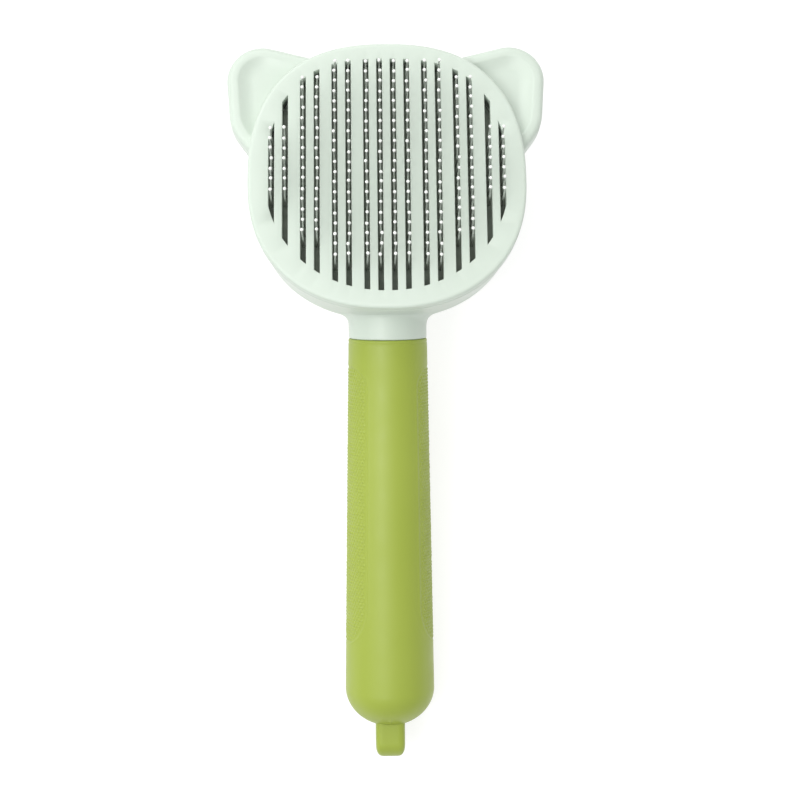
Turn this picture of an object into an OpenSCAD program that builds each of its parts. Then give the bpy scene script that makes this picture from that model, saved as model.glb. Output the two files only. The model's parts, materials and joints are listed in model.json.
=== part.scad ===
// Slicker brush with a cat-ear head, a lift-off cleaning plate and a push button on the back.
// Millimetres. The brush lies on its back: +Y runs to the ears, +Z is up, z = 0 is the table.
// Head frame: x across, y along the plate towards the ears, z out of the plate, plate face at 0.
// Grip frame: z along the grip from its collar to its end, y towards the bristle side.

/* [Head] */
// Width of the head without its ears
head_w = 77.6; // [76:0.2:80]
// From the head's widest line to its far edge
head_far = 40.8; // [39:0.1:42]
// From the head's widest line to its neck edge
head_near = 36.6; // [35:0.1:37.5]
// From the plate's face to the back cover's face
head_depth = 26; // [26:0.5:28]
// Wall thickness of the head shell's back
wall = 1.8; // [1.6:0.1:2]
// Wall thickness of the head shell's side at its rim
side_wall = 2.3; // [2.1:0.1:2.5]
// How far the side wall leans in from its rim to where the back starts
draft = 1.3; // [0.8:0.1:1.4]
// Angle between the plate and the grip's axis
bend = 18; // [16:0.5:20]
// How far the plate leans when the brush lies on its back
lie_tilt = 12; // [10:0.5:13]

/* [Ears] */
// How far the ears' faces sit below the plate's face
ear_drop = 3.5; // [3:0.1:4.5]
// Thickness of an ear
ear_thick = 7.5; // [6:0.5:9]
// Width of the raised rim around an ear's dish
ear_rim = 3.3; // [2.4:0.1:3.6]
// Depth of an ear's dish
ear_dish = 1.6; // [1:0.1:3]

/* [Cleaning plate] */
// Thickness of the slotted plate
plate_thick = 2.4; // [2:0.1:2.6]
// Width of a slot
slot_w = 1.55; // [1.4:0.05:1.7]
// Distance between the slots of one group
slot_pitch = 3.8; // [3.6:0.1:4]
// Extra distance between two groups of slots
group_gap = 1.2; // [1:0.1:1.4]
// How far the plate lifts to push the hair off
lift = 9; // [7:0.5:9]

/* [Pins] */
// Diameter of a pin's wire
wire_d = 0.45; // [0.35:0.05:0.5]
// Diameter of a pin's bead
bead_d = 1.1; // [0.9:0.05:1.3]
// Height of the beads' middles above the plate's face
bead_rise = 10.5; // [10:0.5:12]
// Distance between two pins of one row
pin_pitch = 2.91; // [2.7:0.01:3.1]

/* [Button] */
// Diameter of the button
button_d = 34; // [30:1:34]
// How far the button stands out of the back cover
button_out = 9.5; // [9.5:0.5:11]

/* [Grip] */
// Radius of the neck
neck_r = 11.1; // [10.8:0.1:11.1]
// Radius of the grip at its collar
collar_r = 11.2; // [11.2:0.1:12]
// Radius of the grip at its end
end_r = 12.9; // [12.4:0.1:14]
// Length of the grip from its collar to the start of its round end
grip_len = 102; // [90:1:120]
// Length of the grip's round end
dome_len = 11.6; // [10:0.1:13]
// Width of the hanging loop
loop_w = 8.8; // [7:0.1:10]
// Radius of the hanging loop's hole
loop_hole_r = 2.4; // [2:0.1:2.6]

/* [Hidden] */
$fn = 48;

mint = "honeydew";
lime = "yellowgreen";
steel = "silver";
over = 1;

// Levels in the head frame, from the plate's face backwards
rim_z = -plate_thick - 0.3;
pad_z = -4.5;
carrier_z = -6.5;
carrier_back = -9;
skirt_end = -14;
wall_end = -15;
spring_closed = 2.5;
pusher_z = carrier_back - lift - spring_closed;
pusher_back = pusher_z - 1.6;
cover_z = -head_depth + wall;
button_face = -head_depth - button_out;

// The head's outline: how square its far and near halves are
head_far_power = 2.45;
head_near_power = 2.27;

// The circles that an ear's outline is stretched around: x, y, radius
ear_circles = [[35, 31.5, 10], [31, 22.1, 13.3], [33.4, 13.6, 6.4], [23, 34.6, 4]];

// Screws
screw_r = 0.9;
screw_head_r = 1.8;
screw_head_h = 1.2;
inner_screw_tip = -15;
cover_screw_tip = -18;
button_screw_tip = -28;

// Slots and pins, one row of pins to a slot
slot_xs = concat([for (i = [7:-1:0]) -slot_x(i)], [for (i = [0:7]) slot_x(i)]);
field_w = 34;
field_h = 33.25;
field_y = 1.75;
field_e_far = 2.55;
field_e_near = 2.1;
pin_y0 = 1.9;
pin_ends = [[-9, 10], [-9, 10], [-9, 10], [-9, 10], [-7, 8], [-7, 8], [-3, 3], [-3, 3]];
pin_shift = [0, 0, 0, 0, 1, 1, 1, 1];
slot_reach_on = [1.05, 1.05, 1.1, 1.1, 1.1, 0.9, 0, -1.8];
carrier_inset = 4.3;
pad_inset = 4.8;
skirt_gap = 0.3;
skirt_wall = 1.2;

// Posts of the plate, pillars of the shell and screws of the button
post_r = 1.6;
post_at = [for (x = [-17, 17], y = [-20, 20]) [x, y]];
pillar_r = 2.8;
rib_end = head_w / 2 - 3.6;
pillar_at = [for (x = [-25.8, 25.8], y = [-9, 12]) [x, y]];
button_screw_ring = 12;
button_screw_at = [for (a = [30:120:270]) button_screw_ring * [cos(a), sin(a)]];
button_boss_r = 2.4;
button_wall = 1.8;

// Pusher frame: a ring with four arms
pusher_r = 19.2;
pusher_hole_r = 8;
arm_w = 6.4;
arm_start = 12;
arm_end_r = 3.8;

// Where the brush lies: the button's rounded edge and the grip's round end meet the table
button_edge_r = 3;
grip_tilt = bend - lie_tilt;
head_up = (button_d / 2 - button_edge_r) * sin(lie_tilt)
    - (button_face + button_edge_r) * cos(lie_tilt) + button_edge_r;
collar_up = grip_len * sin(grip_tilt)
    + sqrt(pow(dome_len * sin(grip_tilt), 2) + pow(end_r * cos(grip_tilt), 2));
collar_y = -39.1;
collar_z = (collar_up - head_up + collar_y * sin(lie_tilt)) / cos(lie_tilt);

// Hanging loop
loop_r = 5.9;
loop_z = grip_len + dome_len + 3.9;
loop_corner = 2.2;

// The origin is under the middle of the whole length
plate_edge = 1.2;
far_y = head_far * cos(lie_tilt) - plate_edge * sin(lie_tilt);
near_y = collar_y * cos(lie_tilt) + collar_z * sin(lie_tilt) - loop_z * cos(grip_tilt) - loop_r;
middle_y = (far_y + near_y) / 2;

// Neck, its chin under the head, and its tang inside the grip
neck_start = -14;
chin_y = -33;
chin_r = 6;
chin_h = 3;
tang_r = 8.6;
tang_len = 24;
tang_gap = 0.05;
collar_gap = 0.2;

// Hollow of the grip and its screw on the back
grip_wall = 2.6;
hollow_end = grip_len - 4;
screw_z = 14;
screw_tip_y = 3;
screw_seat_y = 10;

// The shell's back turns in by this much. Steps of the leaning wall and of the back
turn_in = 7;
draft_steps = 6;
turn_steps = 7;
cover_inset = turn_in + 1.6;

// Return springs, drawn as they sit at rest
spring_r = 2.5;
spring_wire_r = 0.3;
spring_turns = 5;
spring_steps = 12;
spring_sides = 6;

function two_digits(i) = i < 10 ? str("0", i) : str(i);

// Middle of slot i, counted outwards from the head's centre line in groups of two
function slot_x(i) = slot_pitch * (i + 0.5) + group_gap * floor(i / 2);

// A curve halfway between an ellipse and a rectangle, with its own far and near lengths
function rounded_pt(a, w, far, near, e_far, e_near) =
    let (c = cos(a), s = sin(a), h = s < 0 ? near : far, e = s < 0 ? e_near : e_far)
    [w * sign(c) * pow(abs(c), 2 / e), h * sign(s) * pow(abs(s), 2 / e)];

// The head's outline, moved inwards by d
function head_outline(d) =
    [for (a = [0:5:355])
        rounded_pt(a, head_w / 2 - d, head_far - d, head_near - d, head_far_power, head_near_power)];

// Reach of the slotted field at x, from its middle line, with the exponent e of that side
function field_reach(x, e) = field_h * pow(1 - pow(abs(x) / field_w, e), 1 / e);

// How far row r's slot is from the middle, counting from 0
function slot_number(r) = r > 8 ? r - 9 : 8 - r;

// Places of the pins of row r
function row_pins(r) =
    let (n = slot_number(r), x = slot_xs[r - 1], ends = pin_ends[n])
    [for (i = [ends[0]:ends[1]]) [x, pin_y0 + pin_shift[n] + i * pin_pitch]];

module in_head()
    translate([0, -middle_y, head_up]) rotate([-lie_tilt, 0, 0]) children();

module in_grip()
    in_head() translate([0, collar_y, collar_z]) rotate([90 + bend, 0, 0]) children();

module slab(z_low, z_high, d)
    translate([0, 0, z_low]) linear_extrude(z_high - z_low) polygon(head_outline(d));

module at_each(places) for (p = places) translate([p[0], p[1], 0]) children();

module rod(z_low, z_high, r) translate([0, 0, z_low]) cylinder(r = r, h = z_high - z_low);

// A pan-head screw: its head starts at z and its shank runs to z_tip
module screw(z, z_tip) {
    up = z > z_tip ? 1 : -1;
    rod(min(z, z_tip), max(z, z_tip), screw_r);
    rod(min(z, z + up * screw_head_h), max(z, z + up * screw_head_h), screw_head_r);
}

// An ear's outline, drawn in by d
module ear_outline(d)
    hull() for (c = ear_circles) translate([c[0], c[1]]) circle(r = c[2] - d, $fn = 60);

module ears() for (side = [0, 1]) mirror([side, 0, 0])
    difference() {
        translate([0, 0, -ear_drop - ear_thick]) linear_extrude(ear_thick) ear_outline(0);
        translate([0, 0, -ear_drop - ear_dish]) linear_extrude(ear_dish + over) ear_outline(ear_rim);
    }

// How far the shell's outline has turned in at fraction t of the way to its back
function turned(t) = draft + (turn_in - draft) * (1 - sqrt(1 - pow(t, 2)) * 0.999);

// The part of a form that turns in from wall_end to z_low, carried on up to z_top
module turned_back(z_top, z_low, inset) {
    step = (wall_end - z_low) / turn_steps;
    for (i = [1:turn_steps])
        slab(wall_end - i * step, z_top, inset + turned((i - 0.5) / turn_steps));
}

// The shell's outside: a wall that leans in a little, then the turned back
module shell_outside() {
    step = (rim_z - wall_end) / draft_steps;
    for (i = [1:draft_steps])
        slab(rim_z - i * step, rim_z, draft * (i - 0.5) / draft_steps);
    turned_back(rim_z, -head_depth, 0);
}

// The shell's inside: straight for the plate's skirt, then the turned back
module shell_inside() {
    slab(wall_end, over, side_wall);
    turned_back(over, cover_z, wall);
}

// The neck and the chin that joins it to the shell's back
module neck() {
    translate([0, collar_y, collar_z]) rotate([90 + bend, 0, 0]) rod(neck_start, 0, neck_r);
    hull() {
        translate([0, collar_y, collar_z]) rotate([90 + bend, 0, 0]) rod(-5, -3, neck_r - 0.2);
        translate([0, chin_y, -head_depth]) cylinder(r = chin_r, h = chin_h, $fn = 32);
    }
}

// A rib that ties a pillar to the shell's side wall, below the plate's skirt
module rib(p)
    translate([p[0] > 0 ? p[0] : -rib_end, p[1] - 0.8, wall_end - 6])
        cube([rib_end - abs(p[0]), 1.6, 4.5]);

module head_shell() color(mint) in_head() {
    difference() {
        union() {
            difference() {
                union() {
                    shell_outside();
                    ears();
                    neck();
                }
                shell_inside();
                slab(-head_depth - over, cover_z + over, cover_inset);
            }
            for (p = pillar_at) {
                translate([p[0], p[1], 0]) rod(cover_z, carrier_back, pillar_r);
                rib(p);
            }
        }
        at_each(pillar_at) rod(cover_z - over, cover_screw_tip, screw_r);
        at_each(pillar_at) rod(inner_screw_tip, carrier_back + over, screw_r);
    }
    translate([0, collar_y, collar_z]) rotate([90 + bend, 0, 0]) difference() {
        rod(-1, tang_len, tang_r);
        translate([0, 0, screw_z]) rotate([90, 0, 0]) rod(screw_tip_y, tang_r + over, screw_r);
    }
}

// Closes the back, with the button's opening and a raised ring around it
module back_cover() color(mint) in_head() difference() {
    union() {
        slab(-head_depth, cover_z, cover_inset);
        rod(-head_depth - 0.8, cover_z, button_d / 2 + 2.4);
    }
    rod(-head_depth - over, cover_z + over, button_d / 2 + 0.4);
    at_each(pillar_at) rod(-head_depth - over, cover_z + over, screw_r);
    at_each(pillar_at) rod(-head_depth - over, -head_depth + screw_head_h, screw_head_r);
}

// Holds the pins and guides the plate's posts
module pin_carrier() color("whitesmoke") in_head() difference() {
    slab(carrier_back, carrier_z, carrier_inset);
    at_each(post_at) rod(carrier_back - over, carrier_z + over, post_r + 0.08);
    at_each(pillar_at) rod(carrier_back - over, carrier_z + over, screw_r);
    for (r = [1:16]) at_each(row_pins(r)) rod(carrier_back + 0.5, carrier_z + over, wire_d / 2);
}

module cushion_pad() color("dimgray") in_head() difference() {
    slab(carrier_z, pad_z, pad_inset);
    at_each(post_at) rod(carrier_z - over, pad_z + over, post_r + 0.4);
    at_each(pillar_at) rod(carrier_z - over, pad_z + over, screw_head_r + 0.2);
    for (r = [1:16]) at_each(row_pins(r)) rod(carrier_z - over, pad_z + over, wire_d / 2);
}

module carrier_screws() color(steel) in_head() at_each(pillar_at) screw(carrier_z, inner_screw_tip);

module cover_screws() color(steel) in_head() at_each(pillar_at) {
    rod(-head_depth + screw_head_h, cover_screw_tip, screw_r);
    rod(-head_depth, -head_depth + screw_head_h, screw_head_r);
}

module pin_row(r) color(steel) in_head() at_each(row_pins(r))
    rod(carrier_back + 0.5, bead_rise, wire_d / 2);

module bead_row(r) color("white") in_head() at_each(row_pins(r)) difference() {
    translate([0, 0, bead_rise]) sphere(d = bead_d);
    rod(0, bead_rise, wire_d / 2);
}

// A slot's outline, its ends cut along the edge of the slotted field
function slot_shape(r) =
    let (a = slot_xs[r - 1] - slot_w / 2, b = a + slot_w, far = field_y + slot_reach_on[slot_number(r)])
    [[a, field_y - field_reach(a, field_e_near)], [b, field_y - field_reach(b, field_e_near)],
     [b, far + field_reach(b, field_e_far)], [a, far + field_reach(a, field_e_far)]];

// The slotted plate, its guiding skirt and its four posts
module front_plate() color(mint) in_head() {
    difference() {
        union() {
            slab(-plate_thick, -plate_edge, 0);
            slab(-plate_edge, -plate_edge / 3, 0.4);
            slab(-plate_edge / 3, 0, 1);
        }
        translate([0, 0, -plate_thick - over]) linear_extrude(plate_thick + 2 * over)
            for (r = [1:16]) polygon(slot_shape(r));
    }
    difference() {
        slab(skirt_end, -plate_thick, side_wall + skirt_gap);
        slab(skirt_end - over, -plate_thick, side_wall + skirt_gap + skirt_wall);
    }
    difference() {
        at_each(post_at) rod(pusher_z, -plate_thick, post_r);
        at_each(post_at) rod(pusher_z - over, inner_screw_tip, screw_r);
    }
}

// Joins the button to the plate's posts
module pusher_frame() color("whitesmoke") in_head() difference() {
    union() {
        rod(pusher_back, pusher_z, pusher_r);
        for (p = post_at) {
            translate([p[0], p[1], 0]) rod(pusher_back, pusher_z, arm_end_r);
            rotate([0, 0, atan2(p[1], p[0])])
                translate([arm_start, -arm_w / 2, pusher_back])
                    cube([norm(p) - arm_start, arm_w, pusher_z - pusher_back]);
        }
    }
    rod(pusher_back - over, pusher_z + over, pusher_hole_r);
    at_each(post_at) rod(pusher_back - over, pusher_z + over, screw_r);
    at_each(button_screw_at) rod(pusher_back - over, pusher_z + over, screw_r);
}

module plate_screws() color(steel) in_head() at_each(post_at) {
    rod(pusher_back, inner_screw_tip, screw_r);
    rod(pusher_back - screw_head_h, pusher_back, screw_head_r);
}

// A cap with a rounded edge, and a flange inside the cover that stops it falling out
module button() color(lime) in_head() difference() {
    union() {
        rod(pusher_back - 1.6, pusher_back, button_d / 2 + 2);
        rotate_extrude() difference() {
            union() {
                translate([0, button_face + button_edge_r])
                    square([button_d / 2, pusher_back - button_face - button_edge_r]);
                translate([0, button_face])
                    square([button_d / 2 - button_edge_r, button_edge_r + 0.5]);
                translate([button_d / 2 - button_edge_r, button_face + button_edge_r])
                    circle(r = button_edge_r);
            }
            translate([-2 * button_d, button_face - over]) square([2 * button_d, button_d]);
        }
    }
    difference() {
        rod(button_face + button_wall, pusher_back + over, button_d / 2 - button_wall);
        at_each(button_screw_at) rod(button_face + 1, pusher_back + 2 * over, button_boss_r);
    }
    at_each(button_screw_at) rod(button_screw_tip, pusher_back + over, screw_r);
}

module button_screws() color(steel) in_head() at_each(button_screw_at) {
    rod(button_screw_tip, pusher_z, screw_r);
    rod(pusher_z, pusher_z + screw_head_h, screw_head_r);
}

// A point of a spring's wire: turned by a along the coil, at side angle b around the wire
function coil_pt(a, z, b) =
    [(spring_r + spring_wire_r * cos(b)) * cos(a), (spring_r + spring_wire_r * cos(b)) * sin(a),
     z + spring_wire_r * sin(b)];

module coil(z_low, z_high) {
    rings = spring_turns * spring_steps;
    rise = (z_high - z_low - 2 * spring_wire_r) / rings;
    n = spring_sides;
    points = [for (i = [0:rings], j = [0:n - 1])
        coil_pt(i * 360 / spring_steps, z_low + spring_wire_r + i * rise, j * 360 / n)];
    sides = [for (i = [0:rings - 1], j = [0:n - 1])
        let (k = (j + 1) % n) [i * n + j, (i + 1) * n + j, (i + 1) * n + k, i * n + k]];
    caps = [[for (j = [0:n - 1]) j], [for (j = [n - 1:-1:0]) rings * n + j]];
    polyhedron(points, concat(sides, caps));
}

module return_spring(i) color(steel) in_head()
    translate([post_at[i - 1][0], post_at[i - 1][1], 0]) coil(pusher_z + 0.05, carrier_back - 0.05);

// Outline of half the grip's section, inset by d all over
function grip_side(d) = concat(
    [[collar_r - d, collar_gap], [end_r - d, grip_len]],
    [for (a = [6:6:84]) [(end_r - d) * cos(a), grip_len + (dome_len - d) * sin(a)]],
    [[0, grip_len + dome_len - d]]
);

module hanging_loop() difference() {
    translate([0, 0, loop_z]) rotate([0, 90, 0]) translate([0, 0, -loop_w / 2]) union() {
        cylinder(r = loop_r, h = loop_w);
        translate([0, -loop_r, 0]) cube([loop_r + 3, 2 * loop_r, loop_w]);
    }
    for (side = [0, 1]) mirror([side, 0, 0])
        translate([loop_w / 2 - loop_corner, -loop_r - over, loop_z + loop_r - loop_corner])
            difference() {
                cube([loop_corner + over, 2 * loop_r + 2 * over, loop_corner + over]);
                rotate([-90, 0, 0]) rod(-over, 2 * loop_r + 3 * over, loop_corner);
            }
}

// The hollow grip with its round end and hanging loop
module handle_grip() color(lime) in_grip() difference() {
    union() {
        rotate_extrude() polygon(concat([[0, collar_gap]], grip_side(0)));
        hanging_loop();
    }
    rod(-over, tang_len + over, tang_r + tang_gap);
    rotate_extrude() polygon([[0, tang_len], [tang_r, tang_len],
        [end_r - grip_wall, hollow_end], [0, hollow_end]]);
    translate([0, 0, loop_z]) rotate([0, 90, 0]) rod(-loop_w, loop_w, loop_hole_r);
    translate([0, 0, screw_z]) rotate([90, 0, 0]) {
        rod(0, 2 * screw_seat_y, screw_r);
        rod(screw_seat_y, 2 * screw_seat_y, screw_head_r + 0.1);
    }
}

module handle_screw() color(steel) in_grip() translate([0, 0, screw_z]) rotate([90, 0, 0]) {
    rod(screw_tip_y, screw_seat_y, screw_r);
    rod(screw_seat_y, screw_seat_y + screw_head_h, screw_head_r);
}

head_shell();
back_cover();
pin_carrier();
cushion_pad();
carrier_screws();
cover_screws();
for (i = [1:16]) {
    pin_row(i);
    bead_row(i);
}
front_plate();
pusher_frame();
plate_screws();
button();
button_screws();
for (i = [1:4])
    return_spring(i);
handle_grip();
handle_screw();
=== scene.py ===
"""Slicker brush with a cat-ear head, lying on its back on a pale table.

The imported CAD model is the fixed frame. Detailed pieces replace its visible nodes in place.
Lengths are in millimetres in this script's own frames and become metres in place_mesh().
Head frame: x across, y along the plate towards the ears, z out of the plate, plate face at 0.
Grip frame: z along the grip from its collar to its end, y towards the bristle side.
"""
import json
import math

import bmesh
import bpy
import numpy as np
import openvdb
from mathutils import Matrix, Vector
from mathutils.geometry import delaunay_2d_cdt


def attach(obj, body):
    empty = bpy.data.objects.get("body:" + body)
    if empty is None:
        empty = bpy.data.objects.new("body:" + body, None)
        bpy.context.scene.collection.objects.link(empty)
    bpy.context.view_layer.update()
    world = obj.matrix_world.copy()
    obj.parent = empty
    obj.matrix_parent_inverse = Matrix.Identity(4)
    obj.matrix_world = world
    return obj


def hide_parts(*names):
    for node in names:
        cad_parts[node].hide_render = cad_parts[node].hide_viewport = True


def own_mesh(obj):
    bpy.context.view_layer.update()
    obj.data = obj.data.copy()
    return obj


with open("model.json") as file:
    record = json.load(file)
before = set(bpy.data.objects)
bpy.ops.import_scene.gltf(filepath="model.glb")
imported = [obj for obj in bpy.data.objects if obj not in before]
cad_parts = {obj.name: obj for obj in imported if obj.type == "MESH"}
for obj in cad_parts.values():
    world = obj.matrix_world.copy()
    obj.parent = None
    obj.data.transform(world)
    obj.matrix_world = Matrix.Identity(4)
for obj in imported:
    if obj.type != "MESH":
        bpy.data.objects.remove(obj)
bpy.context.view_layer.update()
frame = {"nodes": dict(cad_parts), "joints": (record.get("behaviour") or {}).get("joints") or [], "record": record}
MM = 0.001

# ---------------------------------------------------------------- sizes, in millimetres
# The head: half its width, its reach to the ears and to the neck, and how square each half is
HEAD_HALF, HEAD_FAR, HEAD_NEAR = 38.8, 40.8, 36.6
HEAD_FAR_POWER, HEAD_NEAR_POWER = 2.45, 2.27
HEAD_DEPTH = 26.0

# The shell: its walls, how far its side leans in and its back turns in, and its open edge
WALL, SIDE_WALL = 1.8, 2.45
DRAFT, TURN_IN = 1.5, 7.0
WALL_END = -15.0
RIM_Z, RIM_EDGE = -2.7, 0.5
SHELL_VOXEL, SHELL_QUICK_VOXEL = 0.3, 0.4
SHELL_LOW = (-46.0, -HEAD_NEAR - 11.0, -37.5)
SHELL_HIGH = (46.0, HEAD_FAR + 1.5, -1.5)

# The ears: each outline is stretched around circles, given as x, y and radius
EAR_DROP, EAR_THICK = 3.5, 7.5
EAR_EDGE, EAR_RIM, EAR_SLOPE, EAR_DISH = 2.0, 3.0, 4.4, 1.55
EAR_CIRCLES = [(35.0, 31.5, 10.0), (31.0, 22.1, 13.3), (33.4, 13.6, 6.4), (23.0, 34.6, 4.0)]
EAR_BLEND = 0.8

# The slotted plate, its skirt and its posts
PLATE_THICK = 2.4
PLATE_EDGE_IN, PLATE_EDGE_DOWN = 1.15, 1.05
SKIRT_OUT, SKIRT_IN, SKIRT_END = 2.6, 3.8, -14.0
POST_X, POST_Y, POST_R = 17.0, 20.0, 1.6
POSTS = [(x, y) for x in (-POST_X, POST_X) for y in (-POST_Y, POST_Y)]
PUSHER_FRONT = -20.5

# The field of slots: SLOT_REACH_ON moves each slot's far end, from the middle outwards
SLOT_WIDTH, SLOT_PITCH, GROUP_GAP = 1.55, 3.8, 1.2
SLOT_EDGE = 0.22
ROWS = 16
FIELD_HALF, FIELD_REACH, FIELD_Y = 34.0, 33.25, 1.75
FIELD_FAR_POWER, FIELD_NEAR_POWER = 2.55, 2.1
SLOT_REACH_ON = [1.05, 1.05, 1.1, 1.1, 1.1, 0.9, 0, -1.8]

# The pins: first and last pin and shift of each slot's row, from the middle outwards
PIN_Y0, PIN_PITCH = 1.9, 2.91
PIN_ENDS = [(-9, 10), (-9, 10), (-9, 10), (-9, 10), (-7, 8), (-7, 8), (-3, 3), (-3, 3)]
PIN_SHIFT = [0, 0, 0, 0, 1, 1, 1, 1]
WIRE_R, BEAD_R, BEAD_RISE = 0.225, 0.475, 10.5
# Half section of a bead of radius 1, as (radius, height), from its foot to its top
BEAD_SHAPE = [(0.0, -1.0), (0.36, -0.93), (0.70, -0.72), (0.92, -0.38), (1.0, 0.0), (0.93, 0.38),
              (0.72, 0.70), (0.40, 0.92), (0.0, 1.0)]
LEAN_IN, LEAN_SPREAD, BEAD_SPREAD = 0.012, 0.12, 0.02
PAD_TOP, PAD_BACK, PAD_INSET = -4.5, -6.5, 4.8
CARRIER_BACK = -9.0

# The back: cover, button and the cover screws' pillars
COVER_INSET = TURN_IN + 1.6
COVER_Z = -HEAD_DEPTH + WALL
BUTTON_R, BUTTON_OUT, BUTTON_EDGE = 17.0, 9.5, 3
BUTTON_FACE = -HEAD_DEPTH - BUTTON_OUT
PILLARS = [(x, y) for x in (-25.8, 25.8) for y in (-9.0, 12.0)]

# The screws' heads
SCREW_VOXEL = 0.08
SCREW_R, SCREW_HALF, SCREW_DOME = 1.75, 0.6, 3.6
CROSS_HALF, CROSS_REACH, CROSS_DEPTH = 0.24, 1.05, 0.85
SCREW_SUNK = 0.1

# The neck and its tang in the grip
BEND = math.radians(18)
NECK_R, TANG_R = 11.1, 8.6
TANG_MIDDLE, TANG_HALF = 1.0, 2.5
NECK_BLEND, NECK_SIDE_BLEND = 0.9, 1.9
CHIN_END, CHIN_BLEND = -28.2, 7.0

# The grip, its round end and the gate mark on it
COLLAR_R, END_R = 11.2, 12.9
GRIP_LEN, DOME_LEN, COLLAR_GAP = 102.0, 11.6, 0.2
DOME_DRAWN = 11.1
GATE_S = GRIP_LEN + 8.2
GATE_LONG, GATE_WIDE, GATE_HEIGHT = 0.7, 0.33, 0.4
GRIP_SCREW_S, POCKET_R, POCKET_DEPTH, POCKET_EDGE = 14.0, 2.1, 1.0, 0.2

# The grip's side patches: where they lie, their border and their dots
PATCH_MIDDLE, PATCH_HALF, PATCH_ANGLE, PATCH_TURN = 48.0, 40.5, 52.5, 6.4
PATCH_NEAR_END, PATCH_FAR_END, PATCH_POWER = 6.5, 13.0, 2.4
PATCH_RAMP, PATCH_SUNK = 0.8, 0.12
RIDGE_OUT, RIDGE_WIDTH, RIDGE_HEIGHT = 0.2, 0.5, 0.07
DOT_ROWS, DOT_COLUMNS, DOT_R, DOT_HEIGHT = 0.95, 1.25, 0.44, 0.26
DOT_START, DOT_FADE, DOT_TABLE = 0.9, 0.5, 400

# The hanging loop
LOOP_R, LOOP_W, LOOP_HOLE_R = 5.9, 8.8, 2.4
LOOP_END, LOOP_CORNER = 5.2, (2.4, 4.4)
LOOP_TAIL = 8.8
LOOP_EDGE, LOOP_SMALL_EDGE = 2.4, 0.6
LOOP_Z = GRIP_LEN + DOME_LEN + 3.9
LOOP_VOXEL = 0.16

# ---------------------------------------------------------------- frames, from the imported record
SLIDE = next(j for j in frame["joints"] if j["name"] == "release_slide")
MOUNTS = {m["name"]: m for m in frame["record"]["mounts"]}
PLATE_NORMAL = Vector(SLIDE["axis"]).normalized()
LIE_TILT = math.atan2(PLATE_NORMAL.y, PLATE_NORMAL.z)
HEAD_ORIGIN = Vector(MOUNTS["button_face"]["pos_m"]) - PLATE_NORMAL * BUTTON_FACE * MM
HEAD = Matrix.Translation(HEAD_ORIGIN) @ Matrix.Rotation(-LIE_TILT, 4, "X")
GRIP_TURN = Matrix.Rotation(math.pi / 2 + BEND - LIE_TILT, 4, "X")
GRIP = (Matrix.Translation(Vector(MOUNTS["hang_hole"]["pos_m"])) @ GRIP_TURN
        @ Matrix.Translation((0, 0, -LOOP_Z * MM)))
GRIP_IN_HEAD = HEAD.inverted() @ GRIP


# ---------------------------------------------------------------- outlines
def resample(points, count):
    """A closed outline with count points, evenly spaced along it."""
    closed = np.vstack([points, points[:1]])
    steps = np.hypot(*np.diff(closed, axis=0).T)
    along = np.concatenate([[0], np.cumsum(steps)])
    want = np.linspace(0, along[-1], count, endpoint=False)
    return np.c_[np.interp(want, along, closed[:, 0]), np.interp(want, along, closed[:, 1])]


def head_outline(inset, count=360):
    """The head's outline, drawn in by inset."""
    a = np.linspace(0, 2 * np.pi, 4000, endpoint=False)
    c, s = np.cos(a), np.sin(a)
    reach = np.where(s < 0, HEAD_NEAR, HEAD_FAR) - inset
    power = 2 / np.where(s < 0, HEAD_NEAR_POWER, HEAD_FAR_POWER)
    x = (HEAD_HALF - inset) * np.sign(c) * np.abs(c) ** power
    y = reach * np.sign(s) * np.abs(s) ** power
    return resample(np.c_[x, y], count)


def ear_outline(side, count=240):
    """The outline around an ear's circles: side is 1 on the right and -1 on the left."""
    a = np.linspace(0, 2 * np.pi, 1440, endpoint=False)
    u = np.c_[np.cos(a), np.sin(a)]
    circles = np.array(EAR_CIRCLES)
    reach = u @ circles[:, :2].T + circles[:, 2]
    best = reach.argmax(1)
    points = circles[best, :2] + circles[best, 2:] * u
    return resample(points, count) * (side, 1)


def circle_outline(radius, count, centre=(0.0, 0.0)):
    """A circle as count points."""
    a = np.linspace(0, 2 * np.pi, count, endpoint=False)
    return np.c_[centre[0] + radius * np.cos(a), centre[1] + radius * np.sin(a)]


def slot_x(i):
    """Middle of slot i, counted outwards from the head's centre line in groups of two."""
    return SLOT_PITCH * (i + 0.5) + GROUP_GAP * (i // 2)


def field_reach(x, power):
    """How far the field of slots reaches from its middle line at x."""
    return FIELD_REACH * (1 - (abs(x) / FIELD_HALF) ** power) ** (1 / power)


# ---------------------------------------------------------------- mesh building
def place_mesh(name, verts, faces, matrix, sharp_angle=40):
    """A smooth-shaded object from points in millimetres in the frame that matrix places."""
    points = np.asarray(verts, float) * MM
    turn = np.array(matrix.to_3x3())
    points = points @ turn.T + np.array(matrix.translation)
    mesh = bpy.data.meshes.new(name)
    mesh.from_pydata(points.tolist(), [], [tuple(int(i) for i in f) for f in faces])
    mesh.update()
    bm = bmesh.new()
    bm.from_mesh(mesh)
    bmesh.ops.remove_doubles(bm, verts=bm.verts, dist=1e-7)
    bmesh.ops.recalc_face_normals(bm, faces=bm.faces)
    bm.to_mesh(mesh)
    bm.free()
    for polygon in mesh.polygons:
        polygon.use_smooth = True
    mesh.set_sharp_from_angle(angle=math.radians(sharp_angle))
    obj = bpy.data.objects.new(name, mesh)
    bpy.context.scene.collection.objects.link(obj)
    return obj


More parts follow.
